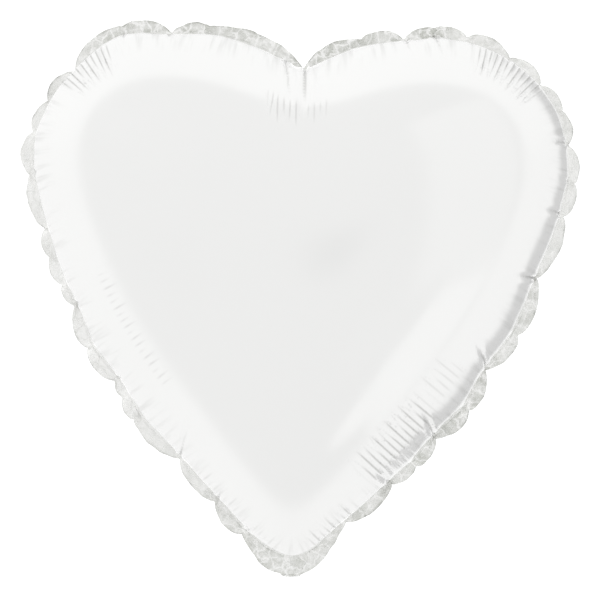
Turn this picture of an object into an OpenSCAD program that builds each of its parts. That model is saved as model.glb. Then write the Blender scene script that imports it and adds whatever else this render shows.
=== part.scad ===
// Heart-shaped foil party balloon, filled, seen from the front along +Y.
// Two sheets of metallised film are cut as one heart shape each and heat
// sealed to each other round the edge. A flat self-sealing valve made of two
// thinner films lies between them in the neck, and its free end hangs inside.
// The filling tail below the neck is folded up behind the balloon.
// Frame: X across the lobes, Y front to back with the front at -Y, Z up.
// The origin is the middle of the fold at the bottom of the neck.

/* [Balloon] */
// width across both lobes from seam to seam when filled
seam_w = 367; // [280:1:460]
// how far each face swells out from the seal at its fattest
crown = 92; // [60:1:115]
// slope of the seam where the lobes meet at the cleft
cleft_ang = 30; // [18:1:40]
// radius that rounds off the seam at the bottom point
tip_r = 24; // [12:1:32]

/* [Film] */
// drawn thickness of one foil sheet
foil_t = 0.45; // [0.4:0.05:0.8]
// drawn thickness of one valve film
valve_t = 0.3; // [0.2:0.05:0.4]

/* [Sealed edge] */
// width of the seal outside the seam at the widest scallop
seal_w = 8; // [6:0.5:14]
// width left outside the seam where a gather pinches the edge
pinch_w = 2.4; // [1:0.1:4]
// width of the seal that reaches inside the seam
seal_in = 2; // [1.5:0.1:4]

/* [Neck and tail] */
// height of the seam's bottom point above the fold
neck_h = 12; // [9:0.5:18]
// width of the neck at the fold
neck_w = 12; // [10:0.5:16]
// width of the filling tail
tail_w = 28; // [24:1:44]
// length of the filling tail
tail_l = 40; // [34:1:60]
// how far the tail is folded up from hanging straight down
fold_ang = 128; // [110:1:140]
// radius of the filling hole
port_r = 4; // [3:0.25:5]

/* [Valve] */
// width of the valve strip where it passes the neck
valve_w = 9; // [7:0.5:10]
// length of the loose end of the valve inside the balloon
valve_l = 70; // [40:1:110]

/* [Hidden] */
// play at each fold line between films that turn against each other
fold_gap = 0.4;
// the two foils sealed together, and the flat gap the valve channel gets
seal_t = 2*foil_t;
channel = seal_t - 2*valve_t;
// half of the whole stack of films at the neck
stack = seal_t/2 + foil_t;
// headings of the seam from the cleft round one lobe to the bottom point
head = [cleft_ang, -10, -100, -126, -140, -180];
hs = [for (a = head) sin(a)];
// the lobe's radius follows from the width, the others keep its proportion
lobe_r = seam_w/2/(2.1*(hs[0] - hs[1]) + hs[1] + 1);
top_r = 2.1*lobe_r;
side_r = 4.1*lobe_r;
// the long flat arc above the point closes the outline on the centre line
reach = top_r*(hs[0]-hs[1]) + lobe_r*(hs[1]-hs[2]) + side_r*(hs[2]-hs[3]);
flank_r = -(reach + tip_r*(hs[4]-hs[5]))/(hs[3]-hs[4]);
rad = [top_r, lobe_r, side_r, flank_r, tip_r];
function arc_len(i) = rad[i]*(head[i] - head[i+1])*PI/180;
function arc_step(i, a) = rad[i]*[hs[i] - sin(a), cos(a) - cos(head[i])];
function arc_start(i) = i == 0 ? [0, 0] : arc_start(i-1) + arc_step(i-1, head[i]);
seam_len = arc_len(0) + arc_len(1) + arc_len(2) + arc_len(3) + arc_len(4);
cleft_z = neck_h - arc_start(5)[1];
// a point of the right half of the seam at heading a of arc i, moved out by d
function on_arc(i, a, d) = arc_start(i) + arc_step(i, a) + [-sin(a)*d, cos(a)*d + cleft_z];
// the same at a fraction f of the way from the cleft to the point
function at_len(s, d, i=0) =
    s <= arc_len(i) || i == 4 ? on_arc(i, head[i] - s/rad[i]*180/PI, d)
    : at_len(s - arc_len(i), d, i+1);
function right_at(f, d) = at_len(f*seam_len, d);
function left_at(f, d) = [-right_at(f, d)[0], right_at(f, d)[1]];
// where gathers pinch the edge of each lobe, as fractions of the same way
right_pinch = [0, 0.075, 0.125, 0.16, 0.2, 0.255, 0.305, 0.345, 0.385, 0.43,
    0.47, 0.55, 0.62, 0.675, 0.725, 0.775, 0.815, 0.85, 0.92, 0.985];
left_pinch = [0, 0.12, 0.165, 0.22, 0.295, 0.345, 0.385, 0.435, 0.5, 0.535,
    0.57, 0.6, 0.65, 0.7, 0.72, 0.75, 0.82, 0.885, 0.935, 0.985];
// a scallop swells with the length of edge between its two pinches
scallop_n = 7;
function swell(gap) = min(seal_w, pinch_w + 0.28*gap) - pinch_w;
function margin(gap, u) = pinch_w + swell(gap)*pow(sin(180*u), 0.65);
function edge(p) = [for (i = [0 : len(p)-2]) let (gap = (p[i+1] - p[i])*seam_len)
    for (j = [0 : scallop_n-1]) let (u = j/scallop_n) [p[i] + (p[i+1]-p[i])*u, margin(gap, u)]];
function back(l) = [for (i = [len(l)-1 : -1 : 0]) l[i]];
function rest(l) = [for (i = [1 : len(l)-1]) l[i]];
// both lobes' edges start from one point of the cleft, on the centre line
cleft_top = [0, cleft_z + pinch_w*cos(cleft_ang)];
right_edge = concat([cleft_top], rest([for (e = edge(right_pinch)) right_at(e[0], e[1])]));
left_edge = rest([for (e = edge(left_pinch)) left_at(e[0], e[1])]);
// the seal stops short of the bottom point, where the valve passes between the foils
seal_end = 0.985;
right_in = [for (e = edge(right_pinch)) right_at(e[0], -seal_in)];
left_in = [for (e = edge(left_pinch)) left_at(e[0], -seal_in)];
// hinge lines
fold_y = stack;
swing_z = neck_h + 6;
// fattest point of the heart, the pole of both swollen faces
pole = [0, neck_h + 0.56*(cleft_z - neck_h)];
// stations round the whole seam
arc_n = [6, 8, 7, 7, 4];
right_seam = [for (i = [0:4]) for (j = [0 : arc_n[i]-1])
    on_arc(i, head[i] + (head[i+1] - head[i])*j/arc_n[i], 0)];
foot = on_arc(4, -180, 0);
seam = concat(right_seam, [[0, foot[1]]],
    [for (i = [len(right_seam)-1 : -1 : 1]) [-right_seam[i][0], right_seam[i][1]]]);
seam_n = len(seam);
// rings of each face, closer together towards the seam where it is steepest
ring_n = 8;
ring = [for (k = [1 : ring_n]) sin(90*k/ring_n)];
// straight-line distance from p to the seam in direction d
function to_seam(p, d) = min([for (i = [0 : seam_n-1])
    let (a = seam[i] - p, b = seam[(i+1) % seam_n] - p, ca = cross(d, a), cb = cross(d, b))
    if (ca*cb <= 0 && ca != cb) let (s = ((a*cb - b*ca)/(cb - ca))*d) if (s > 0) s]);
// swelling of a flat bag of this outline: chords through a point that are
// short on either side hold it down, long ones let it rise
chord_n = 14;
function lift(p) = sqrt(chord_n/([for (j = [0 : chord_n-1]) 1]*[for (j = [0 : chord_n-1])
    let (d = [cos(180*(j+0.37)/chord_n), sin(180*(j+0.37)/chord_n)])
    1/(to_seam(p, d)*to_seam(p, -d))]));

// ---- shared shapes ----
// one swollen face, bulging towards -Y, its rim flat on the seal
module face_shell() {
    top = lift(pole);
    high = [for (k = [0 : ring_n-2]) [for (q = seam) crown*lift(pole + ring[k]*(q-pole))/top]];
    outer = [for (k = [0 : ring_n-1]) for (i = [0 : seam_n-1])
        let (q = pole + ring[k]*(seam[i]-pole), h = k == ring_n-1 ? 0 : high[k][i])
        [q[0], -seal_t/2 - h, q[1]]];
    // the inner skin is the same surface drawn in by the film's thickness
    inner = [for (k = [0 : ring_n-1]) for (i = [0 : seam_n-1])
        let (v = seam[i]-pole, w = ring[k]*(1 - 1.3*foil_t/norm(v)), q = pole + w*v,
             h = k == ring_n-1 ? 0 : high[k][i]*(1 - foil_t/crown))
        [q[0], -seal_t/2 - h, q[1]]];
    n = ring_n*seam_n;
    pts = concat(outer, inner, [[pole[0], -seal_t/2 - crown, pole[1]]],
        [[pole[0], -seal_t/2 - crown + foil_t, pole[1]]]);
    function at(k, i) = k*seam_n + (i % seam_n);
    faces = concat(
        [for (i = [0 : seam_n-1]) [2*n, at(0,i+1), at(0,i)]],
        [for (k = [0 : ring_n-2]) for (i = [0 : seam_n-1]) each
            [[at(k,i), at(k,i+1), at(k+1,i+1)], [at(k,i), at(k+1,i+1), at(k+1,i)]]],
        [for (i = [0 : seam_n-1]) let (o = at(ring_n-1,i), p = at(ring_n-1,i+1)) each
            [[o, p, n+p], [o, n+p, n+o]]],
        [for (k = [0 : ring_n-2]) for (i = [0 : seam_n-1]) each
            [[n+at(k,i), n+at(k+1,i+1), n+at(k,i+1)], [n+at(k,i), n+at(k+1,i), n+at(k+1,i+1)]]],
        [for (i = [0 : seam_n-1]) [2*n+1, n+at(0,i), n+at(0,i+1)]]);
    polyhedron(pts, faces, convexity = 6);
}
// a flat film between y0 and y1 whose outline is drawn in X and Z
module film(y0, y1) {
    translate([0, y1, 0])
        rotate([90, 0, 0])
            linear_extrude(y1 - y0, convexity = 4)
                children();
}
// turns what is drawn hanging straight down up behind the neck
module folded() {
    translate([0, fold_y, 0])
        rotate([fold_ang, 0, 0])
            translate([0, -fold_y, 0])
                children();
}
function arc(c, r, a0, a1, n) = [for (i = [0 : n]) c + r*[cos(a0+(a1-a0)*i/n), sin(a0+(a1-a0)*i/n)]];
function mirrored(l) = [for (i = [len(l)-1 : -1 : 0]) [-l[i][0], l[i][1]]];
// neck: from the fold up to the seal round the bottom point, clear of the face's rim
neck_side = [[neck_w/2, 0], [neck_w/2 + 2, 3], [neck_w/2 + 7, 10], [neck_w/2 + 10.5, 14]];
neck_top = [for (f = [0.962, 0.97, 0.978, 0.985, 0.99, 0.995]) right_at(f, 0.3)];
neck_half = concat(neck_side, neck_top);
module neck_outline() polygon(concat(neck_half, [[0, neck_h - 0.3]], mirrored(neck_half)));
// tail, hanging straight down, inset by d
tail_shoulder = tail_w/2 - neck_w/2;
function tail_half(d) = concat([[neck_w/2 - d, -fold_gap]],
    [[tail_w/2 - d, -fold_gap - tail_shoulder]],
    arc([tail_w/2 - 5, -tail_l + 5], 5 - d, 0, -90, 6));
port_z = -tail_l + 16;
inlet_w = max(valve_w, 2*port_r + 8);
inlet_half = [[valve_w/2, -fold_gap], [inlet_w/2, -fold_gap - 10], [inlet_w/2, port_z - port_r - 5]];
module port_cut() {
    translate([0, stack + 1, port_z])
        rotate([90, 0, 0])
            cylinder(h = 2*stack + 2, r = port_r, $fn = 48);
}

// ---- balloon ----
module front_panel() {
    color([0.93, 0.93, 0.92])
        face_shell();
}
module back_panel() {
    color([0.90, 0.90, 0.89])
        rotate([0, 0, 180])
            face_shell();
}
module seal_border() {
    color([0.80, 0.81, 0.79])
        film(-seal_t/2, seal_t/2)
            polygon(concat(right_edge, [right_at(seal_end, pinch_w)], [right_at(seal_end, -seal_in)],
                back(right_in), left_in, [left_at(seal_end, -seal_in)], [left_at(seal_end, pinch_w)],
                back(left_edge)));
}
module neck_front_film() {
    color([0.86, 0.86, 0.85])
        film(-stack, -seal_t/2)
            neck_outline();
}
module neck_back_film() {
    color([0.86, 0.86, 0.85])
        film(seal_t/2, stack)
            neck_outline();
}

// ---- valve strip in the neck ----
module valve_throat_front_film() {
    color([0.75, 0.80, 0.85])
        film(-seal_t/2, -channel/2)
            translate([-valve_w/2, 0])
                square([valve_w, swing_z - fold_gap]);
}
module valve_throat_back_film() {
    color([0.75, 0.80, 0.85])
        film(channel/2, seal_t/2)
            translate([-valve_w/2, 0])
                square([valve_w, swing_z - fold_gap]);
}
// printed coat that keeps the two valve films from sealing to each other
module valve_release_coat() {
    color([0.55, 0.62, 0.75])
        film(-channel/2, -channel/2 + 0.1)
            translate([-valve_w/2 + 1, 0.5])
                square([valve_w - 2, swing_z - fold_gap - 1]);
}

// ---- loose inner end of the valve ----
module valve_front_film() {
    color([0.75, 0.80, 0.85])
        film(-seal_t/2, -channel/2)
            translate([-valve_w/2, swing_z + fold_gap])
                square([valve_w, valve_l]);
}
module valve_back_film() {
    color([0.75, 0.80, 0.85])
        film(channel/2, seal_t/2)
            translate([-valve_w/2, swing_z + fold_gap])
                square([valve_w, valve_l]);
}
// welds along both edges, joined across the closed top: gas leaves by a side notch
module valve_side_welds() {
    z0 = swing_z + fold_gap;
    color([0.60, 0.66, 0.72])
        film(-channel/2, channel/2)
            polygon([[-valve_w/2, z0], [-valve_w/2 + 1, z0], [-valve_w/2 + 1, z0 + valve_l - 2],
                [valve_w/2 - 1, z0 + valve_l - 2], [valve_w/2 - 1, z0], [valve_w/2, z0],
                [valve_w/2, z0 + valve_l], [-valve_w/2, z0 + valve_l]]);
}

// ---- filling tail, folded up behind ----
module tail_front_film() {
    color([0.88, 0.88, 0.87])
        folded()
            difference() {
                film(-stack, -seal_t/2)
                    polygon(concat(tail_half(0), mirrored(tail_half(0))));
                port_cut();
            }
}
module tail_back_film() {
    color([0.88, 0.88, 0.87])
        folded()
            difference() {
                film(seal_t/2, stack)
                    polygon(concat(tail_half(0), mirrored(tail_half(0))));
                port_cut();
            }
}
// the seal round the tail's edges, either side of the valve strip and below it
module tail_edge_weld() {
    color([0.70, 0.72, 0.70])
        folded()
            film(-seal_t/2, seal_t/2)
                polygon(concat(tail_half(0), mirrored(tail_half(0)), mirrored(back(inlet_half)),
                    back(inlet_half)));
}
module valve_inlet_front_film() {
    color([0.75, 0.80, 0.85])
        folded()
            difference() {
                film(-seal_t/2, -channel/2)
                    polygon(concat(inlet_half, mirrored(inlet_half)));
                port_cut();
            }
}
module valve_inlet_back_film() {
    color([0.75, 0.80, 0.85])
        folded()
            difference() {
                film(channel/2, seal_t/2)
                    polygon(concat(inlet_half, mirrored(inlet_half)));
                port_cut();
            }
}

front_panel();
back_panel();
seal_border();
neck_front_film();
neck_back_film();
valve_throat_front_film();
valve_throat_back_film();
valve_release_coat();
valve_front_film();
valve_back_film();
valve_side_welds();
tail_front_film();
tail_back_film();
tail_edge_weld();
valve_inlet_front_film();
valve_inlet_back_film();
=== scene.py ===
# %% [markdown]
# # A heart-shaped foil party balloon
# A foil balloon is two sheets of metallised film, cut to one flat outline and welded together
# round the edge. Nothing in it is curved until gas goes in. Film doesn't stretch, so as the two
# faces swell the edge has too much length left over, and it gathers into scallops and pleats.
# The lesson follows the real order: the outline, the flat cut, the filling, the welded edge,
# the filling tail, the valve, and then the finish.

# %% Load the frame
import bmesh, bpy, math, time
import numpy as np
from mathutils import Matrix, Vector
from mathutils.geometry import delaunay_2d_cdt
from mathutils.kdtree import KDTree


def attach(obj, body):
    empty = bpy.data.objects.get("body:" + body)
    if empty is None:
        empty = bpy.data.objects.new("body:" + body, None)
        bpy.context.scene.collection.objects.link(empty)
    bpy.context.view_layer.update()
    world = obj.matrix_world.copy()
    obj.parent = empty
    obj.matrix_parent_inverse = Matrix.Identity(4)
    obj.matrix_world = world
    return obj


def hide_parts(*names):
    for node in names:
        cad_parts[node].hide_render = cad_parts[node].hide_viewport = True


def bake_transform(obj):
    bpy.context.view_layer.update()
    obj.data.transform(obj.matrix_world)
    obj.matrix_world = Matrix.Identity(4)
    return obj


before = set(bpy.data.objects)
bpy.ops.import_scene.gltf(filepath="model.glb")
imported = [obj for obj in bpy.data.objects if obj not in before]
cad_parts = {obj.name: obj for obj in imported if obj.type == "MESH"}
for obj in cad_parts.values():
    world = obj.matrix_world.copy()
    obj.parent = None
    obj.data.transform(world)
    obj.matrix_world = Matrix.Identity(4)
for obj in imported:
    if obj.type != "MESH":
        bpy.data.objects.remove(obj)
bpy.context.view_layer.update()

# %% [markdown]
# ## The stage
# The balloon hangs in front of a white sweep, as it would in a small studio. The camera looks
# straight at the front face. A long lens keeps the far edge from shrinking.

# %% Camera and light
LENS, DISTANCE, EYE_X, EYE_Z, ROLL = 100, 1.14, 0.0015, 0.1885, math.radians(1.4)
MIDDLE = (0, 0, 0.19)
scene = bpy.context.scene
scene.view_settings.view_transform = "Standard"

def linked(name, data):
    """A new object with this data, in the scene."""
    obj = bpy.data.objects.new(name, data)
    scene.collection.objects.link(obj)
    return obj

def aim(obj, at, roll=0.0):
    obj.rotation_euler = (Vector(at) - obj.location).to_track_quat("-Z", "Y").to_euler()
    obj.rotation_euler.rotate_axis("Z", roll)

camera = linked("front_camera", bpy.data.cameras.new("front_camera"))
camera.data.lens, camera.data.sensor_width = LENS, 36
camera.location = (EYE_X, -DISTANCE, EYE_Z)
aim(camera, (EYE_X, 0, EYE_Z), roll=ROLL)
scene.camera = camera

def softbox(name, at, size, power):
    lamp = bpy.data.lights.new(name, "AREA")
    lamp.shape, lamp.size, lamp.size_y, lamp.energy = "RECTANGLE", size[0], size[1], power
    obj = linked(name, lamp)
    obj.location = at
    aim(obj, MIDDLE)
    return obj

softbox("top_left_softbox", (-1.3, -1.2, 1.6), (1.2, 1.2), 6).visible_glossy = False

# %% [markdown]
# Shiny film shows the room more than it shows itself, so the room needs as much care as the
# balloon. It is a white tent: bright walls to the sides and behind, a duller opening round the
# camera, and a few large panels. The walls are drawn in the world's own nodes by direction only,
# which keeps them out of the way of a camera that looks from another side.

# %% A helper for node trees
class Nodes:
    """Adds nodes to one tree and wires them, so that no line of that has to be repeated."""
    def __init__(self, tree):
        self.tree = tree

    def node(self, kind, **settings):
        node = self.tree.nodes.new(kind)
        for key, value in settings.items():
            setattr(node, key, value)
        return node

    def feed(self, socket, value):
        """Links another node's output to a socket, or sets the socket to a plain value."""
        if isinstance(value, bpy.types.NodeSocket):
            self.tree.links.new(value, socket)
        else:
            socket.default_value = value

    def calc(self, op, *args):
        node = self.node("ShaderNodeMath", operation=op)
        for socket, value in zip(node.inputs, args):
            self.feed(socket, value)
        return node.outputs[0]

    def span(self, value, start, end, low=0.0, high=1.0):
        """low up to start and high from end on, with a soft change between them."""
        node = self.node("ShaderNodeMapRange", interpolation_type="SMOOTHSTEP")
        self.feed(node.inputs["Value"], value)
        for key, v in (("From Min", start), ("From Max", end), ("To Min", low), ("To Max", high)):
            node.inputs[key].default_value = v
        return node.outputs["Result"]

    def place(self):
        return self.node("ShaderNodeTexCoord").outputs["Object"]

# %% White tent
# brightness of the side walls, the opening round the camera, the ceiling and the gap at the rim
SIDE_WALL, OPENING, CEILING, RIM_GAP = 0.985, 0.865, 1.01, 0.56
# brightness, bearing and height of the middle, width, height and soft edge in degrees, slant
PANELS = ((0.93, 47, 10, 38, 80, 2, -0.25), (0.875, 33, -19, 22, 12, 4, 0.5),
          (1.0, 54, -31, 24, 30, 3, 0.3), (0.77, 7, 5, 4, 5, 14, 0.0))

class Tent(Nodes):
    """Writes the tent's brightness, as a function of direction, into a node tree."""
    def __init__(self, tree, toward):
        super().__init__(tree)
        self.toward = toward

    def along(self, direction):
        """How far the looked-at direction points along another one."""
        node = self.node("ShaderNodeVectorMath", operation="DOT_PRODUCT")
        self.feed(node.inputs[0], self.toward)
        node.inputs[1].default_value = direction
        return node.outputs["Value"]

    def over(self, base, value, mask):
        """base, with value laid over it where the mask is 1."""
        return self.calc("MULTIPLY_ADD", self.calc("SUBTRACT", value, base), mask, base)

    def panel(self, base, value, az, el, wide, high, soft, skew):
        """A soft-edged rectangle on the wall, sized and placed in degrees from the camera."""
        a, e = math.radians(az), math.radians(el)
        facing = Vector((math.sin(a)*math.cos(e), -math.cos(a)*math.cos(e), math.sin(e)))
        right = Vector((math.cos(a), math.sin(a), 0))
        depth = self.calc("MAXIMUM", self.along(facing), 0.02)
        up = self.calc("DIVIDE", self.along(facing.cross(right)), depth)
        side = self.calc("DIVIDE", self.along(right), depth)
        side = self.calc("SUBTRACT", side, self.calc("MULTIPLY", up, skew))
        w, h, s = (math.tan(math.radians(x)) for x in (wide/2, high/2, soft))
        within_w = self.span(self.calc("ABSOLUTE", side), w + s/2, max(w - s/2, 0))
        within_h = self.span(self.calc("ABSOLUTE", up), h + s/2, max(h - s/2, 0))
        in_front = self.span(self.along(facing), 0.02, 0.06)
        mask = self.calc("MULTIPLY", self.calc("MULTIPLY", within_w, within_h), in_front)
        return self.over(base, value, mask)

    def wall(self):
        """Duller round the camera, brighter past the sides, with a dark gap behind the rim."""
        ahead = self.along((0, -1, 0))
        turned = lambda start, end: self.span(ahead, *(math.cos(math.radians(a)) for a in (start, end)))
        up = self.span(self.along((0, 0, 1)), 0.0, 0.5)
        wall = self.over(SIDE_WALL, OPENING, turned(78, 66))
        wall = self.over(wall, CEILING, self.calc("MULTIPLY", up, turned(70, 74)))
        rim = self.calc("MULTIPLY", turned(104, 112), turned(146, 132))
        low_right = self.span(self.along((0.85, 0, -0.5)), -0.1, 0.4)
        wall = self.over(wall, RIM_GAP, self.calc("MULTIPLY", rim, low_right))
        for panel in PANELS:
            wall = self.panel(wall, *panel)
        return wall

sky = bpy.data.worlds.new("white_tent")
scene.world = sky
sky.use_nodes = True
looking = sky.node_tree.nodes.new("ShaderNodeTexCoord").outputs["Generated"]
sky_light = sky.node_tree.nodes["Background"]
sky.node_tree.links.new(Tent(sky.node_tree, looking).wall(), sky_light.inputs["Color"])
print("tent with", len(PANELS), "panels,", len(sky.node_tree.nodes), "nodes")

# %% [markdown]
# ## The sweep
# The sweep stands for plain pale paper, but it is dark grey with a painted glow: it glows so that it
# stays as bright as the tent round it and the film shows no horizon, and it is brightest straight
# behind the balloon.

# %% Sweep with a painted glow
def put(name, verts, faces):
    """A smooth-shaded mesh object from points and faces."""
    mesh = bpy.data.meshes.new(name)
    mesh.from_pydata(np.asarray(verts).tolist(), [], [list(map(int, f)) for f in faces])
    mesh.polygons.foreach_set("use_smooth", [True]*len(mesh.polygons))
    return linked(name, mesh)

def sweep(name, width, depth, height, floor_z, back_y, bend=0.4):
    rows = [(-depth, floor_z), (back_y - bend, floor_z)]
    rows += [(back_y - bend + bend*math.sin(a), floor_z + bend - bend*math.cos(a))
             for a in np.radians(np.arange(10, 91, 10))]
    rows.append((back_y, height))
    verts = [(side*width/2, y, z) for y, z in rows for side in (-1, 1)]
    faces = [(2*i, 2*i + 1, 2*i + 3, 2*i + 2) for i in range(len(rows) - 1)]
    return put(name, verts, faces)

floor = sweep("pale_sweep", width=2.2, depth=0.9, height=2.6, floor_z=-1.0, back_y=1.9)

# %% A helper for finishes
class Finish(Nodes):
    """A material for one finish, with the noise and wrinkle patterns that films are made of."""
    def __init__(self, name, color, roughness, metallic):
        self.mat = bpy.data.materials.new(name)
        self.mat.use_nodes = True
        super().__init__(self.mat.node_tree)
        self.shader = self.tree.nodes["Principled BSDF"]
        self.shader.inputs["Base Color"].default_value = (*color, 1)
        self.shader.inputs["Roughness"].default_value = roughness
        self.shader.inputs["Metallic"].default_value = metallic

    def noise(self, vector, scale, detail=3.0, rough=0.55, output="Fac"):
        node = self.node("ShaderNodeTexNoise")
        self.feed(node.inputs["Vector"], vector)
        for key, v in (("Scale", scale), ("Detail", detail), ("Roughness", rough)):
            node.inputs[key].default_value = v
        return node.outputs[output]

    def cells(self, vector, scale):
        """Distance to the nearest line of a net of cells, as in creased paper."""
        node = self.node("ShaderNodeTexVoronoi", feature="DISTANCE_TO_EDGE")
        self.feed(node.inputs["Vector"], vector)
        node.inputs["Scale"].default_value = scale
        return node.outputs["Distance"]

    def value_of(self, name, output="Fac"):
        """A value that was stored on the mesh, point by point."""
        return self.node("ShaderNodeAttribute", attribute_name=name).outputs[output]

    def tint(self, fac, low, high):
        node = self.node("ShaderNodeMix", data_type="RGBA")
        self.feed(node.inputs[0], fac)
        node.inputs[6].default_value, node.inputs[7].default_value = (*low, 1), (*high, 1)
        self.feed(self.shader.inputs["Base Color"], node.outputs[2])

    def bump(self, height, strength, distance):
        node = self.node("ShaderNodeBump")
        node.inputs["Strength"].default_value = strength
        node.inputs["Distance"].default_value = distance
        self.feed(node.inputs["Height"], height)
        self.feed(self.shader.inputs["Normal"], node.outputs["Normal"])

# %% The sweep's painted glow
# painted glow of the sweep: to the sides, in front of the balloon and straight behind it
GLOW, GLOW_IN_FRONT, GLOW_BEHIND = 0.82, 0.70, 1.05

def painted_glow_sweep():
    f = Finish("pale_sweep", (0.16, 0.16, 0.16), 0.9, 0.0)
    f.shader.inputs["Specular IOR Level"].default_value = 0.1
    f.shader.inputs["Emission Color"].default_value = (1, 1, 1, 1)
    away = f.node("ShaderNodeVectorMath", operation="SUBTRACT")
    f.feed(away.inputs[0], f.place())
    away.inputs[1].default_value = MIDDLE
    straight = f.node("ShaderNodeVectorMath", operation="NORMALIZE")
    f.feed(straight.inputs[0], away.outputs[0])
    tent = Tent(f.tree, straight.outputs[0])
    in_front = tent.span(tent.along((0, -1, 0)), 0.2, 0.4)
    behind = tent.span(tent.along((0, 1, 0)), 0.80, 0.90)
    glow = tent.over(tent.over(GLOW, GLOW_IN_FRONT, in_front), GLOW_BEHIND, behind)
    f.feed(f.shader.inputs["Emission Strength"], glow)
    return f.mat

floor.data.materials.append(painted_glow_sweep())

# %% [markdown]
# ## The outline
# Half of the heart's seam is a chain of five arcs, from the cleft round one lobe to the bottom
# point. Each arc starts in the direction in which the last one ended, so six headings and a few
# radii give the whole curve, and the long flat arc closes it on the centre line.

# %% The seam as a chain of arcs
SEAM_W, TIP_R, NECK_H = 0.367, 0.024, 0.012
HEAD = np.radians([30, -10, -100, -126, -140, -180])
CLEFT_ARC, FLANK_ARC = 2.1, 4.1  # radii of the first and third arc, against the lobe's own

def seam_chain():
    """Points down the right half of the seam, and the way out of the heart at each."""
    s = np.sin(HEAD)
    lobe = SEAM_W/2/(CLEFT_ARC*(s[0] - s[1]) + s[1] + 1)
    radii = [CLEFT_ARC*lobe, lobe, FLANK_ARC*lobe]
    reach = sum(r*(s[i] - s[i + 1]) for i, r in enumerate(radii))
    radii += [-(reach + TIP_R*(s[4] - s[5]))/(s[3] - s[4]), TIP_R]
    x = z = 0.0
    path, out = [], []
    for i, r in enumerate(radii):
        a = np.linspace(HEAD[i], HEAD[i + 1], 400)[(i > 0):]
        path.append(np.stack([x + r*(s[i] - np.sin(a)), z + r*(np.cos(a) - math.cos(HEAD[i]))], 1))
        out.append(np.stack([-np.sin(a), np.cos(a)], 1))
        x, z = path[-1][-1]
    path, out = np.concatenate(path), np.concatenate(out)
    path[:, 1] += NECK_H - path[-1, 1]
    return path, out

HALF, HALF_OUT = seam_chain()
HALF_S = np.r_[0, np.cumsum(np.hypot(*np.diff(HALF, axis=0).T))]
HALF_LEN = HALF_S[-1]
CLEFT_Z = HALF[0, 1]
# at the cleft the two edges share one way out, straight up
share = np.clip(1 - HALF_S/0.016, 0, 1)[:, None]**0.8
HALF_OUT = HALF_OUT*(1 - share) + np.array([0, 1])*share
HALF_OUT /= np.hypot(*HALF_OUT.T)[:, None]
POLE = np.array([0, NECK_H + 0.56*(CLEFT_Z - NECK_H)])

def around(g, out=0.0):
    """The seam at g, which runs 0 to 1 down the right lobe and 1 to 2 back up the left."""
    g = np.asarray(g, float) % 2
    left = g > 1
    s = np.where(left, 2 - g, g)*HALF_LEN
    side = np.where(left, -1, 1)
    p = np.stack([side*np.interp(s, HALF_S, HALF[:, 0]), np.interp(s, HALF_S, HALF[:, 1])], -1)
    n = np.stack([side*np.interp(s, HALF_S, HALF_OUT[:, 0]), np.interp(s, HALF_S, HALF_OUT[:, 1])], -1)
    return p + n*np.asarray(out)[..., None], n

print("half seam %.0f mm, cleft at %.0f mm" % (HALF_LEN*1000, CLEFT_Z*1000))

# %% [markdown]
# ## Gathers
# Filled foil pulls its edge in at points, and the edge swells out between them in scallops.
# Each gather here has a place on its lobe, from 0 at the cleft to 1 at the point, and the offset
# of the cut edge there from the mean seam, in millimetres. Small offsets are deep bites.

# %% Where the edge gathers
RIGHT = [(0.0, 0), (0.075, 3.4), (0.125, -0.5), (0.16, 5.5), (0.2, 2.5), (0.255, -1.8), (0.305, -1),
         (0.345, 1), (0.385, 0), (0.43, 4.4), (0.47, 3), (0.55, -1.4), (0.62, 4.8), (0.675, -1.7),
         (0.725, 7), (0.775, 1.4), (0.815, 5), (0.85, 1), (0.92, -1), (1.0, 11.6)]
LEFT = [(0.0, 0), (0.12, 4.5), (0.165, -1), (0.22, 6), (0.295, -5), (0.345, -3), (0.385, 1.5),
        (0.435, 3), (0.5, 1.4), (0.535, 3), (0.57, 3), (0.6, -0.5), (0.65, 6), (0.7, 1.5),
        (0.72, 4.5), (0.75, 6.5), (0.82, -0.4), (0.885, 1), (0.935, 5.5)]
gathers = sorted([(f, o) for f, o in RIGHT] + [(2 - f, o) for f, o in LEFT if f > 0]) + [(2.0, 0)]
G_AT = np.array([g for g, _ in gathers])
G_OFF = np.array([o for _, o in gathers])/1000

def scallop(g):
    """Offset of the cut edge, the way across the scallop from 0 to 1, and which scallop it is."""
    g = np.asarray(g, float) % 2
    i = np.clip(np.searchsorted(G_AT, g, "right") - 1, 0, len(G_AT) - 2)
    gap = G_AT[i + 1] - G_AT[i]
    u = (g - G_AT[i])/gap
    swell = np.minimum(0.2*gap*HALF_LEN, 0.0062)*np.clip(np.sin(np.pi*u), 0, 1)**0.62
    swell = np.where((G_AT[i] == 1) | (G_AT[i + 1] == 1), swell*0.3, swell)
    return G_OFF[i]*(1 - u) + G_OFF[i + 1]*u + swell, u, i

def near_point(g, span=0.04):
    """1 at the bottom point of the heart, falling to 0 a little way up either side."""
    f = 1 - np.abs(np.asarray(g, float) % 2 - 1)
    t = np.clip(1 - (1 - f)/span, 0, 1)
    return t*t*(3 - 2*t)

WELD_W, SCALLOP_EXTRA, POINT_EXTRA = 0.0044, 0.0044, 0.0078

def edge_width(g):
    """Width of the weld outside the seam: more across a scallop, and more at the bottom point."""
    _, u, _ = scallop(g)
    return WELD_W + SCALLOP_EXTRA*np.sin(np.pi*u)**0.8 + POINT_EXTRA*near_point(g)

def seam_offset(g):
    return scallop(g)[0] - edge_width(g)

print(len(G_AT) - 1, "scallops")

# %% [markdown]
# ## The flat cut
# Seen flat, the heart is bigger than the filled balloon, least of all at the bottom point, because
# each face has to arch from seam to seam. The flat outline is the filled one pushed out from the
# middle by the length of that arch in each direction.

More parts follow.
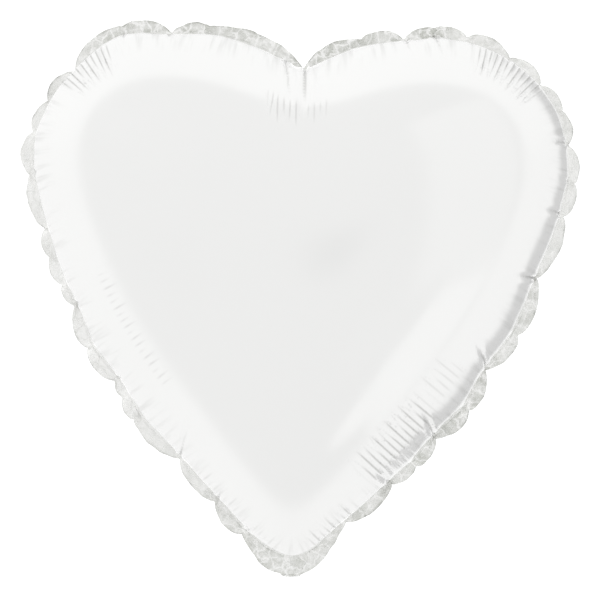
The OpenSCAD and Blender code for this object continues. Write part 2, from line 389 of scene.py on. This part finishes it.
# %% Flat outline and the film's mesh
# degrees round from straight up, and how much further out the flat outline lies there
STRETCH = ((0, 1.25), (35, 1.17), (60, 1.19), (90, 1.235), (120, 1.20), (150, 1.15), (180, 1.08))

def polar(p):
    """Bearing in degrees from straight up, and distance, seen from a point inside the heart."""
    d = p - POLE
    return np.degrees(np.arctan2(d[..., 0], d[..., 1])), np.hypot(d[..., 0], d[..., 1])

def flat_of(p):
    a, _ = polar(p)
    return POLE + (p - POLE)*np.interp(np.abs(a), *zip(*STRETCH))[..., None]

SPACING = 0.0043
dense = np.linspace(0, 2, 8001)
flat_line = flat_of(around(dense)[0])
flat_s = np.r_[0, np.cumsum(np.hypot(*np.diff(flat_line, axis=0).T))]
seam_n = 2*int(round(flat_s[-1]/SPACING/2))
seam_g = np.interp(np.arange(seam_n)*flat_s[-1]/seam_n, flat_s, dense)
flat_seam = flat_of(around(seam_g)[0])
print("flat cut %.0f by %.0f mm" % tuple(np.ptp(flat_line, axis=0)*1000), seam_n, "points on the seam")

def gathered(g):
    """Film bunches up at the gathers: more of its length goes to each end of a scallop."""
    _, u, i = scallop(g)
    return G_AT[i] + (u - 0.72*np.sin(2*np.pi*u)/(2*np.pi))*(G_AT[i + 1] - G_AT[i])

def seam_place(g):
    """Where the welded seam lies once the balloon is full, in all three directions."""
    p, _ = around(g, seam_offset(g))
    _, u, i = scallop(g)
    y = 0.0013*np.sin(np.pi*u)*np.where(i % 2 == 0, 1, -1)*(1 - near_point(g))
    return np.stack([p[..., 0], y, p[..., 1]], -1)

def inside(points, loop):
    """Which points lie inside a closed outline."""
    x, y = points.T
    hit = np.zeros(len(points), bool)
    for (x0, y0), (x1, y1) in zip(np.roll(loop, 1, 0), loop):
        if y0 != y1:
            hit ^= ((y0 > y) != (y1 > y)) & (x < (x1 - x0)*(y - y0)/(y1 - y0) + x0)
    return hit

def lattice(loop, step, clear, seed, jitter=0.09):
    """Points in a triangular grid inside a closed outline, a little uneven as film never is even."""
    lo, hi = loop.min(0), loop.max(0)
    rise = step*math.sqrt(3)/2
    xs = np.arange(lo[0], hi[0], step)
    rows = [np.stack([xs + (step/2)*(j % 2), np.full(len(xs), lo[1] + j*rise)], 1)
            for j in range(int((hi[1] - lo[1])/rise) + 1)]
    pts = np.concatenate(rows)
    pts += np.random.default_rng(seed).normal(0, step*jitter, pts.shape)
    pts = pts[inside(pts, loop)]
    near = np.array([np.min(np.hypot(*(loop - p).T)) for p in pts])
    return pts[near > clear]

INSIDE_ONLY, INSIDE_BUT_HOLES, NEAR = 1, 4, 1e-9  # what the triangulation keeps and merges

def triangles(loop, inner, holes=()):
    """A clean triangle mesh of an outline, its inner points and any holes."""
    loops, start, edges = [loop, *holes], 0, []
    for part in loops:
        edges += [(start + i, start + (i + 1) % len(part)) for i in range(len(part))]
        start += len(part)
    pts = np.concatenate([*loops, inner])
    kept = INSIDE_BUT_HOLES if holes else INSIDE_ONLY
    _, _, tris, origin, _, _ = delaunay_2d_cdt([Vector(p) for p in pts], edges, [], kept, NEAR)
    tris = [[origin[i][0] for i in t] for t in tris]
    cross = lambda t: np.cross(pts[t[1]] - pts[t[0]], pts[t[2]] - pts[t[0]])
    return pts, [t if cross(t) > 0 else t[::-1] for t in tris]

film_pts, film_tris = triangles(flat_seam, lattice(flat_seam, SPACING, SPACING*0.62, 7))
inner_n = len(film_pts) - seam_n
print(len(film_pts), "points in one sheet")

# %% [markdown]
# ## Filling the balloon
# The two sheets are simulated as one closed bag. The flat cut is given to the cloth as its rest
# shape, and the welded seam is pinned where the full balloon holds it. Pressure does the rest.
# The film is made very stiff against stretching and soft against bending, so the spare length
# can only go into pleats that run in from the seam, as it does in real foil.

# %% Start shape and the bag's mesh
CROWN = 0.088  # half depth of the first guess

def puffed(flat):
    """A first guess at the filled face, which the simulation then settles."""
    a, r = polar(flat)
    sa, sr = polar(around(dense)[0])
    fa, fr = polar(flat_line)
    order = np.argsort(fa)
    t = np.clip(r/np.interp(a, fa[order], fr[order]), 0, 1)
    order = np.argsort(sa)
    reach = np.interp(a, sa[order], sr[order])
    way = np.radians(a)
    xz = POLE + (np.sin(np.pi/2*t)*reach)[:, None]*np.stack([np.sin(way), np.cos(way)], 1)
    shift = seam_place(gathered(seam_g)) - np.insert(around(seam_g)[0], 1, 0, axis=1)
    qa, _ = polar(flat_seam)
    order = np.argsort(qa)
    move = np.stack([np.interp(a, qa[order], shift[order, k], period=360) for k in range(3)], 1)
    place = np.stack([xz[:, 0], -CROWN*np.cos(np.pi/2*t)**0.9, xz[:, 1]], 1)
    return place + move*(t**8)[:, None]

seam_3d = seam_place(gathered(seam_g))
front_3d = puffed(film_pts[seam_n:])
bag = np.concatenate([seam_3d, front_3d, front_3d*[1, -1, 1]])
bag[seam_n:] += np.random.default_rng(3).normal(0, 0.0002, (2*inner_n, 3))
flat_bag = np.zeros_like(bag)
flat_bag[:, [0, 2]] = np.concatenate([film_pts, film_pts[seam_n:]])
behind = lambda i: i if i < seam_n else i + inner_n
bag_tris = film_tris + [[behind(i) for i in t[::-1]] for t in film_tris]

# %% Fill it
FRAMES = 44

def fill_with_gas(points, rest, tris, pinned, frames):
    """Blows the bag up and gives its points, and how far they still moved in the last frame."""
    mesh = bpy.data.meshes.new("bag")
    mesh.from_pydata(points.tolist(), [], tris)
    obj = linked("bag", mesh)
    obj.shape_key_add(name="start")
    cut = obj.shape_key_add(name="flat_cut")
    cut.data.foreach_set("co", rest.ravel())
    obj.vertex_groups.new(name="seam").add(list(range(pinned)), 1.0, "REPLACE")
    cloth = obj.modifiers.new("film", "CLOTH")
    film = cloth.settings
    film.quality, film.mass, film.air_damping = 5, 0.0005, 1.0
    film.tension_stiffness = film.compression_stiffness = 60
    film.shear_stiffness, film.bending_stiffness = 30, 0.04
    film.tension_damping = film.compression_damping = film.shear_damping = 5
    film.vertex_group_mass = "seam"
    film.rest_shape_key = cut
    film.use_pressure, film.uniform_pressure_force = True, 15
    film.effector_weights.gravity = 0
    cloth.collision_settings.use_collision = False
    cloth.collision_settings.use_self_collision = False
    cloth.point_cache.frame_start, cloth.point_cache.frame_end = 1, frames
    last, moved = points, 0
    for f in range(1, frames + 1):
        scene.frame_set(f)
        if f > frames - 2:
            shape = obj.evaluated_get(bpy.context.evaluated_depsgraph_get()).data
            now = np.empty(len(points)*3, np.float32)
            shape.vertices.foreach_get("co", now)
            now = now.reshape(-1, 3).astype(float)
            last, moved = now, float(np.abs(now - last).max())
    bpy.data.objects.remove(obj)
    bpy.data.meshes.remove(mesh)
    scene.frame_set(1)
    return last, moved

t0 = time.time()
full, moved = fill_with_gas(bag, flat_bag, bag_tris, seam_n, FRAMES)
print("filled to %.0f mm deep, last step %.2f mm, %.0f s"
      % (np.ptp(full[:, 1])*1000, moved*1000, time.time() - t0))

# %% [markdown]
# ## From simulation to film
# The simulated bag becomes two sheets, front and back. Out in the middle the film is pulled dead
# smooth, so there the grain of the mesh is relaxed away, while the creases near the seam stay.

# %% Relax the middle and subdivide
def coords(mesh):
    flat = np.empty(len(mesh.vertices)*3, np.float32)
    mesh.vertices.foreach_get("co", flat)
    return flat.reshape(-1, 3).astype(float)

def store(mesh, **values):
    """Keeps numbers on the mesh, one for each point, for the materials to read."""
    for name, value in values.items():
        mesh.attributes.new(name, "FLOAT", "POINT").data.foreach_set("value", value.astype(np.float32))

def ease(t):
    t = np.clip(t, 0, 1)
    return t*t*(3 - 2*t)

def relax(points, tris, weight, rounds):
    """Moves each point towards the mean of its neighbours, by its own weight."""
    t = np.array(tris)
    pairs = np.concatenate([t[:, [0, 1]], t[:, [1, 2]], t[:, [2, 0]]])
    pairs = np.unique(np.sort(pairs, 1), axis=0)
    count = np.bincount(pairs.ravel(), minlength=len(points))[:, None]
    points = points.copy()
    for _ in range(rounds):
        mean = np.stack([np.bincount(pairs[:, 0], points[pairs[:, 1], k], len(points))
                         + np.bincount(pairs[:, 1], points[pairs[:, 0], k], len(points))
                         for k in range(3)], 1)/count
        points += weight[:, None]*(mean - points)
    return points

RELAX_ROUNDS = 70
inward = np.r_[np.zeros(seam_n), [np.min(np.hypot(*(flat_seam - p).T)) for p in film_pts[seam_n:]]]
calm = 0.6*ease((inward - 0.022)/0.035) + 0.05*ease(inward/0.01)
front_rows = np.arange(len(film_pts))
back_rows = np.r_[np.arange(seam_n), np.arange(seam_n + inner_n, len(full))]

def film_sheet(name, rows, tris):
    obj = put(name, relax(full[rows], tris, calm, RELAX_ROUNDS), tris)
    fine = obj.modifiers.new("fine", "SUBSURF")
    fine.levels = fine.render_levels = 1
    mesh = bpy.data.meshes.new_from_object(obj.evaluated_get(bpy.context.evaluated_depsgraph_get()))
    obj.modifiers.clear()
    obj.data = mesh
    obj.data.name = name
    return obj

front_foil = film_sheet("front_foil", front_rows, film_tris)
back_foil = film_sheet("back_foil", back_rows, [t[::-1] for t in film_tris])
print(len(front_foil.data.vertices), "points in the front sheet")

# %% [markdown]
# ## Ribs and creases
# Where a lot of edge is drawn in, the film takes it up in a row of fine ribs that run in from the
# seam, like a drawn curtain. In a few places one long crease runs in from a gather. Both are laid on
# as small moves along the film's own normal. The mesh is made finer just where the ribs are.

# %% Ribs and creases
# from g, to g, where they start and end in from the seam, rib spacing, height (metres)
RIBS = ((0.205, 0.318, 0.003, 0.030, 0.0046, 0.00055), (1.675, 1.765, 0.003, 0.032, 0.0046, 0.00055),
        (0.745, 0.868, 0.010, 0.040, 0.0047, 0.00060), (0.690, 0.742, 0.014, 0.042, 0.0052, 0.00022),
        (0.900, 0.972, 0.002, 0.020, 0.0044, 0.00045), (1.955, 1.999, 0.028, 0.050, 0.0040, 0.00034),
        (0.001, 0.030, 0.030, 0.048, 0.0040, 0.00024), (1.250, 1.430, 0.026, 0.040, 0.0052, 0.00030),
        (1.075, 1.160, 0.003, 0.018, 0.0050, 0.00030), (1.030, 1.065, 0.003, 0.016, 0.0044, 0.00030))
# g, length, depth, lean along the seam per metre in
CREASES = ((0.002, 0.050, 0.0016, 0.0), (1.975, 0.048, 0.0012, 0.25), (0.125, 0.022, 0.0012, 0.1),
           (0.160, 0.030, 0.0010, 0.3), (0.255, 0.014, 0.0010, 0.0), (0.385, 0.020, 0.0016, -0.1),
           (0.430, 0.012, 0.0008, 0.1), (0.470, 0.022, 0.0013, 0.1), (0.550, 0.030, 0.0014, 0.35),
           (0.675, 0.030, 0.0014, -0.5), (0.775, 0.034, 0.0012, -0.4), (0.850, 0.016, 0.0010, 0.0),
           (1.835, 0.016, 0.0010, 0.0), (1.780, 0.014, 0.0008, 0.0), (1.565, 0.012, 0.0008, 0.0),
           (1.400, 0.014, 0.0010, 0.2), (1.300, 0.013, 0.0009, 0.0), (1.180, 0.034, 0.0012, 0.6),
           (1.115, 0.022, 0.0010, 0.4), (1.065, 0.014, 0.0009, 0.0))

seam_tree = KDTree(len(dense))
for i, (x, z) in enumerate(around(dense)[0]):
    seam_tree.insert((x, 0, z), i)
seam_tree.balance()

def on_seam(mesh):
    """For each point, seen from the front: how far in from the seam it is, and its g.
    Below the cleft every point has the same nearest seam, so there g fans out with x."""
    where = coords(mesh)
    found = [seam_tree.find((x, 0, z)) for x, _, z in where]
    depth, g = np.array([f[2] for f in found]), dense[[f[1] for f in found]]
    off = np.minimum(g, 2 - g)
    off += np.clip(np.abs(where[:, 0]), 0, 0.5*depth)/HALF_LEN*ease(1 - off/0.12)
    return depth, np.where(where[:, 0] < 0, 2 - off, off)

def rib_height(depth, g):
    """Height of the ribs at a point, how strong they are there, and which rib it lies on."""
    high, hold, phase = np.zeros(len(g)), np.zeros(len(g)), np.zeros(len(g))
    for n, (g0, g1, d0, d1, step, amp) in enumerate(RIBS):
        way = (g - g0)/(g1 - g0)
        span = (d1 - d0)*(0.80 + 0.20*np.sin(4.1*g*HALF_LEN/step + n))
        mask = ease(way/0.12)*ease((1 - way)/0.12)
        mask = mask*ease((depth - d0)/0.005)*ease((d0 + span - depth)/0.010)
        s = g*HALF_LEN + 0.0005*np.sin(g*60 + n)
        wave = 1 - 2*np.abs(np.sin(np.pi*s/step))**0.8
        high += amp*mask*wave*(0.75 + 0.25*np.sin(s/step*2.3 + n))
        phase = np.where(mask > hold, s/step, phase)
        hold = np.maximum(hold, mask*amp/0.0005)
    return high, hold, phase

def crease_depth(depth, g):
    """How far the film moves at a crease: in along its line, and out a little either side."""
    low = np.zeros(len(g))
    for g0, length, deep, lean in CREASES:
        s = ((g - g0 + 1) % 2 - 1)*HALF_LEN - lean*depth
        wide = 0.0011 + 0.05*depth
        fall = ease(1 - depth/length)*ease(depth/0.002 + 0.3)
        low += deep*fall*(-np.exp(-(s/wide)**2) + 0.55*np.exp(-((s - 2.1*wide)/wide/1.3)**2)
                          + 0.35*np.exp(-((s + 2.3*wide)/wide/1.4)**2))
    return low

def finer_at_ribs(obj):
    """Cuts the edges in two where a rib will be, so that it has points to move."""
    bm = bmesh.new()
    bm.from_mesh(obj.data)
    depth, g = on_seam(obj.data)
    hold = rib_height(depth, g)[1]
    edges = [e for e in bm.edges if max(hold[e.verts[0].index], hold[e.verts[1].index]) > 0.04]
    bmesh.ops.subdivide_edges(bm, edges=edges, cuts=1, use_grid_fill=True)
    bmesh.ops.triangulate(bm, faces=[f for f in bm.faces if len(f.verts) > 4])
    bm.to_mesh(obj.data)
    bm.free()

def lay_ribs(obj, strength):
    finer_at_ribs(obj)
    mesh = obj.data
    depth, g = on_seam(mesh)
    normal = np.empty(len(mesh.vertices)*3, np.float32)
    mesh.vertex_normals.foreach_get("vector", normal)
    high, hold, phase = rib_height(depth, g)
    low = crease_depth(depth, g)
    move = strength*(high + low)
    where = coords(mesh) + normal.reshape(-1, 3)*move[:, None]
    mesh.vertices.foreach_set("co", where.astype(np.float32).ravel())
    mesh.polygons.foreach_set("use_smooth", [True]*len(mesh.polygons))
    mesh.update()
    store(mesh, from_seam=depth, rib_hold=hold, rib_phase=phase, crease=-low*1000)
    # a place on a ring as long as the seam, so that a noise read there closes on itself
    turn = g*np.pi
    ring = np.stack([np.cos(turn)*HALF_LEN/np.pi, np.sin(turn)*HALF_LEN/np.pi, depth*0.14], 1)
    round_seam = mesh.attributes.new("round_seam", "FLOAT_VECTOR", "POINT")
    round_seam.data.foreach_set("vector", ring.astype(np.float32).ravel())

lay_ribs(front_foil, 1.0)
lay_ribs(back_foil, 0.8)
print(len(front_foil.data.vertices), "points after the ribs,",
      "%.0f mm deep" % (np.ptp(coords(front_foil.data)[:, 1])*1000))

# %% [markdown]
# ## The welded edge
# Outside the seam the two sheets are welded flat to each other. This band can't swell, so it
# takes up its spare length by crinkling and by folding at each gather. It is modelled as a thin
# closed strip that follows the seam, with a raised bead where the weld begins.

# %% Welded edge
def smooth_noise(n, step, seed):
    """Even, seeded noise round a closed ring of n points, with bumps about step points long."""
    knots = max(4, int(n/step))
    value = np.random.default_rng(seed).uniform(-1, 1, knots)
    way = np.arange(n)*knots/n
    i = way.astype(int)
    t = ease(way - i)
    return value[i % knots]*(1 - t) + value[(i + 1) % knots]*t

EDGE_N = 1100
# places across the weld, 0 at the seam and 1 at the cut edge, and half its thickness at each
ACROSS = np.array([-0.07, 0.03, 0.10, 0.17, 0.30, 0.45, 0.60, 0.75, 0.90, 1.0])
HALF_THICK = np.array([30, 45, 62, 40, 28, 26, 26, 26, 24, 12])*1e-5
edge_g = (np.arange(EDGE_N) + 0.5)*2/EDGE_N

def welded_edge():
    root = seam_place(edge_g)
    _, out = around(edge_g)
    width = edge_width(edge_g)
    _, u, i = scallop(edge_g)
    pinch = np.exp(-(np.minimum(u, 1 - u)*(G_AT[i + 1] - G_AT[i])*HALF_LEN/0.0028)**2)
    calm_end = 1 - 0.8*near_point(edge_g)
    rows = []
    for k, q in enumerate(ACROSS):
        p = root.copy()
        stretch = q*(1 + 0.05*smooth_noise(EDGE_N, 5, 40))
        p[:, [0, 2]] += out*(width*stretch)[:, None]
        ruffle = (0.0016*smooth_noise(EDGE_N, 16, 5) + 0.0009*smooth_noise(EDGE_N, 7, 6 + k//3)
                  + 0.0004*smooth_noise(EDGE_N, 3, 20 + k))
        fold = 0.0030*pinch*np.where(i % 2 == 0, 1, -1)*np.where(u < 0.5, 1, -1)
        p[:, 1] = root[:, 1]*(1 - 0.3*q) + calm_end*(ruffle + fold)*max(q, 0)**1.1
        p[:, 1] += 0.0003*math.exp(-((q - 0.10)/0.06)**2)*smooth_noise(EDGE_N, 4, 60)
        rows.append(p)
    front = [r - [0, h, 0] for r, h in zip(rows, HALF_THICK)]
    back = [r + [0, h, 0] for r, h in zip(rows, HALF_THICK)]
    loop = front + back[::-1]
    verts = np.stack(loop, 1).reshape(-1, 3)
    n = len(loop)
    faces = [(c*n + r, ((c + 1) % EDGE_N)*n + r, ((c + 1) % EDGE_N)*n + (r + 1) % n, c*n + (r + 1) % n)
             for c in range(EDGE_N) for r in range(n)]
    return put("welded_edge", verts, faces)

# painted shade on the weld round the edge: g and strength, most at the top and down the right side
WELD_PAINTED_SHADE = [(0, 0.9), (0.15, 0.9), (0.21, 0.5), (0.32, 0.45), (0.45, 0.3), (0.56, 0.55), (0.68, 0.8),
        (0.94, 0.75), (1.0, 0.9), (1.06, 0.75), (1.16, 0.3), (1.32, 0.05), (1.62, 0.0), (1.69, 0.2),
        (1.75, 0.9), (2.0, 0.9)]

edge = welded_edge()
loop_q = np.tile(np.r_[ACROSS, ACROSS[::-1]], EDGE_N)
# painted shade round the edge, from the table, with a random wander in its strength
tone = np.repeat(np.interp(edge_g, *zip(*WELD_PAINTED_SHADE)) + 0.25*smooth_noise(EDGE_N, 22, 8), 2*len(ACROSS))
store(edge.data, across=loop_q, tone=tone)
print("welded edge", len(edge.data.polygons), "faces")

# %% [markdown]
# ## Neck and filling tail
# Below the point the film narrows to a neck, and the filling tail beyond it is folded up behind
# the balloon once it has been filled. The tail holds the two valve films between the foils, so it
# is thicker down its middle, and the filling hole goes right through it. Film has no hinge, so
# this is one piece that bends where the real one does.

# %% Neck and tail
TAIL_L, TAIL_W, FOLD, CORNER_R = 0.040, 0.028, math.radians(128), 0.005
PORT_V, PORT_R = 0.024, 0.004  # the filling hole: how far along the tail, and its radius
NECK_TOP = 0.017  # the neck starts this high, inside the weld
TAIL_Y, TAIL_Z = 0.001454, -0.000709  # where the tail leaves the fold, from side on
# half thickness: the foils at the rim, what they gain away from it, and what the inlet adds
FOILS_THICK, OFF_RIM_THICK, INLET_THICK = 0.00034, 0.00018, 0.00034

def strip_path():
    """The middle line of the strip from side on: down the neck, round the fold, up the tail."""
    line = [(0.0, z) for z in np.arange(NECK_TOP, 0.0012, -0.0008)]
    line += [(0.00012, 0.0004), (0.00050, -0.00022), (0.00108, -0.00048)]
    start = len(line)
    for l in np.r_[0.0006, np.arange(0.0012, TAIL_L + 1e-6, 0.0008)]:
        line.append((TAIL_Y + l*math.sin(FOLD), TAIL_Z - l*math.cos(FOLD)))
    line = np.array(line)
    s = np.r_[0, np.cumsum(np.hypot(*np.diff(line, axis=0).T))]
    return line, s, s[start]

PATH, PATH_S, TAIL_S = strip_path()
FOLD_AT, STRIP_END = TAIL_S - 0.001, PATH_S[-1]
# distance along the strip, and half its width there
WIDTHS = ((0, 0.0125), (NECK_TOP*0.5, 0.0100), (NECK_TOP - 0.003, 0.0068), (FOLD_AT, 0.0052),
          (FOLD_AT + 0.004, 0.0080), (FOLD_AT + 0.010, TAIL_W/2), (STRIP_END, TAIL_W/2))

def half_width(v):
    return np.interp(v, *zip(*WIDTHS))

def strip_outline():
    v = np.linspace(0, STRIP_END - CORNER_R, 44)
    right = np.stack([half_width(v), v], 1)
    a = np.radians(np.arange(10, 91, 10))
    corner = np.stack([TAIL_W/2 - CORNER_R + CORNER_R*np.cos(a),
                       STRIP_END - CORNER_R + CORNER_R*np.sin(a)], 1)
    side = np.concatenate([right, corner])
    bottom = np.stack([np.linspace(0.0075, -0.0075, 9), np.full(9, STRIP_END)], 1)
    top = np.stack([np.linspace(-0.011, 0.011, 15), np.zeros(15)], 1)
    return np.concatenate([side, bottom, side[::-1]*[-1, 1], top])

def tail_film():
    outline = strip_outline()
    turn = np.linspace(0, 2*np.pi, 37)[:-1]
    port = np.stack([PORT_R*np.cos(turn), TAIL_S + PORT_V - 0.0006 + PORT_R*np.sin(turn)], 1)
    inner = lattice(outline, 0.0011, 0.0007, 12, 0.02)
    inner = inner[np.hypot(*(inner - port.mean(0)).T) > PORT_R + 0.0007]
    pts, tris = triangles(outline, inner, [port])
    x, v = pts.T
    keep = [t for t in tris if np.hypot(*(pts[t].mean(0) - port.mean(0))) > PORT_R*0.985]
    y, z = np.interp(v, PATH_S, PATH[:, 0]), np.interp(v, PATH_S, PATH[:, 1])
    ahead = np.stack([np.interp(v + 3e-4, PATH_S, PATH[:, k]) - np.interp(v - 3e-4, PATH_S, PATH[:, k])
                      for k in (0, 1)], 1)
    ahead /= np.maximum(np.hypot(*ahead.T), 1e-9)[:, None]
    normal = np.stack([ahead[:, 1], -ahead[:, 0]], 1)
    in_tail = ease((v - TAIL_S)/0.010)
    off_rim = ease((half_width(v) - np.abs(x))/0.004)
    past_fold = ease((v - TAIL_S + 0.001)/0.0015)
    valve = ease((0.0100 - np.abs(x))/0.0012)*past_fold + (1 - past_fold)*ease((0.005 - np.abs(x))/0.001)
    inlet = valve*ease((STRIP_END - 0.0045 - v)/0.001)
    thick = FOILS_THICK + OFF_RIM_THICK*off_rim + INLET_THICK*inlet
    thick *= 1 - 0.18*np.exp(-((v - TAIL_S + 0.0008)/0.0012)**2)
    # the film waves only outside the inlet, which stays flat inside the tail
    off_inlet = in_tail*ease((np.abs(x) - 0.0090)/0.003)
    wave = (0.0007*np.sin(v*260 + x*90) + 0.0005*np.sin(x*420 + v*130))*off_inlet
    grain = 0.00007*np.sin(v*2900 + 3*np.sin(x*900)) + 0.00006*np.sin(x*3300 + 2*np.sin(v*1200))
    def layer(side):
        off = side*(thick + grain*side) + wave
        return np.stack([x, y + normal[:, 0]*off, z + normal[:, 1]*off], 1)
    n = len(pts)
    faces = keep + [[i + n for i in t[::-1]] for t in keep]
    # an edge that only one triangle has is on the rim or round the hole, and gets a side wall
    edges = dict.fromkeys((t[k], t[(k + 1) % 3]) for t in keep for k in range(3))
    faces += [(b, a, a + n, b + n) for a, b in edges if (b, a) not in edges]
    used = sorted({i for f in faces for i in f})
    new = {o: k for k, o in enumerate(used)}
    verts = np.concatenate([layer(1), layer(-1)])[used]
    return put("neck_and_tail", verts, [[new[i] for i in f] for f in faces])

tail = tail_film()
print("tail", len(tail.data.polygons), "faces, lowest %.1f mm" % (coords(tail.data)[:, 2].min()*1000))

# %% [markdown]
# ## The finish of the film
# The film is white ink and a thin metal layer behind clear plastic: bright, a little pearly, and
# sharp in its reflections. It is never quite even. Short wrinkles run in from the seam, and the
# smooth middle has a faint cloudiness. The rib valleys, the creases and the wrinkles near the seam
# are darkened with painted shade. The weld is creased all over like paper, with painted glints
# along its creases; its grey round the edge is painted shade, heaviest at the top and down the
# right side, and the tail is one even grey. All of this is drawn with noise and cell patterns.

# %% Film and weld materials
def pearl_film(name):
    f = Finish(name, (0.93, 0.93, 0.922), 0.14, 0.6)
    depth = f.value_of("from_seam")
    hold, phase = f.value_of("rib_hold"), f.value_of("rib_phase")
    near = f.span(depth, 0.022, 0.001)
    pull = f.noise(f.value_of("round_seam", "Vector"), 230, 2.0)
    rib = f.calc("ABSOLUTE", f.calc("SINE", f.calc("MULTIPLY", phase, math.pi)))
    # painted shade: darker in the rib valleys
    painted_rib_shade = f.calc("MULTIPLY", hold, f.span(rib, 0.72, 0.08))
    # painted shade along the creases
    fold = f.span(f.value_of("crease"), 0.25, 1.1)
    # painted shade over the wrinkle troughs near the seam
    painted_wrinkle_shade = f.calc("MULTIPLY", near, f.span(pull, 0.52, 0.30, 0, 0.6))
    # all the painted shade together
    dark = f.calc("MAXIMUM", painted_rib_shade, f.calc("MAXIMUM", fold, painted_wrinkle_shade))
    cloud = f.noise(f.place(), 9, 2.0)
    fine = f.noise(f.place(), 260, 3.0)
    height = f.calc("MULTIPLY_ADD", f.calc("MULTIPLY", pull, near), 1.0, f.calc("MULTIPLY", cloud, 0.25))
    height = f.calc("MULTIPLY_ADD", f.calc("MULTIPLY", rib, hold), 0.8, height)
    f.bump(f.calc("MULTIPLY_ADD", fine, 0.006, height), 0.30, 0.0016)
    # base colour: the painted shade pulls it towards the darker grey, and a faint cloud varies it at
    # random
    f.tint(f.calc("MULTIPLY_ADD", cloud, -0.10, f.calc("MULTIPLY_ADD", dark, -0.9, 1.05)),
           (0.66, 0.66, 0.645), (0.945, 0.945, 0.938))
    f.feed(f.shader.inputs["Roughness"], f.span(f.noise(f.place(), 38, 3.0), 0.3, 0.7, 0.12, 0.17))
    f.shader.inputs["Coat Weight"].default_value = 0.35
    f.shader.inputs["Coat Roughness"].default_value = 0.05
    return f.mat

def weld_film(name, toned=True):
    """Creased film, with painted glints along its creases. On the welded edge its grey is painted shade,
    stored round the edge and heaviest at the top and down the right side, and the cut edge is darker.
    The tail has neither: its grey is one even value."""
    f = Finish(name, (0.80, 0.81, 0.775), 0.22, 0.6)
    at = f.place()
    # the creases would be dead straight, so a noise pushes them about a little
    shift = f.node("ShaderNodeVectorMath", operation="MULTIPLY_ADD")
    f.feed(shift.inputs[0], f.noise(at, 170, 2.0, 0.5, "Color"))
    shift.inputs[1].default_value = (0.007, 0.007, 0.007)
    f.feed(shift.inputs[2], at)
    bend = f.cells(shift.outputs[0], 105)
    small = f.cells(shift.outputs[0], 330)
    soft = f.noise(at, 120, 4.0)
    line = f.span(bend, 0.10, 0.0)
    hair = f.span(small, 0.08, 0.0)
    f.bump(f.calc("ADD", bend, f.calc("MULTIPLY_ADD", small, 0.35, soft)), 0.5, 0.0030)
    # the grey: painted shade stored round the welded edge, and one even value on the tail
    grey = f.value_of("tone") if toned else 0.8
    ridge = f.calc("MAXIMUM", line, f.calc("MULTIPLY", hair, 0.5))
    # painted glints: the crease lines lightened, more where the painted shade is deep
    painted_glint = f.calc("MULTIPLY", ridge, f.calc("MULTIPLY_ADD", grey, 1.1, -0.25))
    # a random mottle, scaled by the painted shade
    mottle_and_painted_shade = f.calc("MULTIPLY", f.span(soft, 0.35, 0.65, 0.45, 1.1), grey)
    if toned:
        mottle_and_painted_shade = f.calc("ADD", mottle_and_painted_shade, f.span(f.value_of("across"), 0.80, 0.98, 0.0, 0.32))
    # towards the darker grey with the mottle and painted shade, back towards white along the painted
    # glints
    f.tint(f.calc("SUBTRACT", mottle_and_painted_shade, painted_glint), (1.0, 1.0, 0.985), (0.64, 0.65, 0.61))
    f.feed(f.shader.inputs["Roughness"], f.span(soft, 0.3, 0.7, 0.16, 0.32))
    return f.mat

pearl = pearl_film("pearl_white_foil")
for sheet in (front_foil, back_foil):
    sheet.data.materials.append(pearl)
edge.data.materials.append(weld_film("creased_weld"))
tail.data.materials.append(weld_film("creased_tail_film", toned=False))
print("materials", len(bpy.data.materials))

# %% [markdown]
# ## The valve's own finish
# The valve is two strips of clear, slightly milky film, welded down their long sides, and they
# hang inside the balloon. Gas pushes in between them, and the pressure then presses them shut.
# A matte coat printed on the first stretch keeps the two foils from welding together there. All
# of these keep the shapes that they were given in the frame, and only get a finish here.

# %% Valve film, weld and release coat
def milky_film(name, color, clear, rough):
    f = Finish(name, color, rough, 0.0)
    f.shader.inputs["Transmission Weight"].default_value = clear
    f.shader.inputs["IOR"].default_value = 1.45
    haze = f.noise(f.place(), 60, 3.0)
    grain = f.noise(f.place(), 700, 3.0)
    f.tint(haze, tuple(c*0.90 for c in color), color)
    f.feed(f.shader.inputs["Roughness"], f.span(haze, 0.3, 0.7, rough*0.8, min(rough*1.3, 1)))
    f.bump(f.calc("MULTIPLY_ADD", grain, 0.2, haze), 0.4, 0.0006)
    return f.mat

valve_clear = milky_film("milky_valve_film", (0.93, 0.95, 0.96), 0.55, 0.22)
valve_welds = milky_film("milky_valve_weld", (0.84, 0.87, 0.89), 0.25, 0.35)
matte_coat = milky_film("matte_release_coat", (0.90, 0.89, 0.85), 0.0, 0.75)
FINISH = {"valve_front_film": valve_clear, "valve_back_film": valve_clear, "valve_side_welds": valve_welds,
          "valve_throat_front_film": valve_clear, "valve_throat_back_film": valve_clear,
          "valve_inlet_front_film": valve_clear, "valve_inlet_back_film": valve_clear,
          "valve_release_coat": matte_coat}
for name, mat in FINISH.items():
    for s in bpy.data.objects[name].material_slots:
        s.material = mat
print("kept in their own shape:", ", ".join(sorted(FINISH)))

# %% [markdown]
# ## The balloon's body
# The two faces and the welded edge are one body with the gas. The neck and tail are a single piece
# of film. The frame's own faces, seal border and tail films are hidden.

# %% The balloon's body, and the frame's pieces hidden
for piece in (front_foil, back_foil, edge):
    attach(piece, "balloon")
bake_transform(tail)
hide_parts("front_panel")
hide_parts("back_panel")
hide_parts("seal_border")
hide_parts("neck_front_film", "neck_back_film", "tail_front_film", "tail_back_film", "tail_edge_weld")
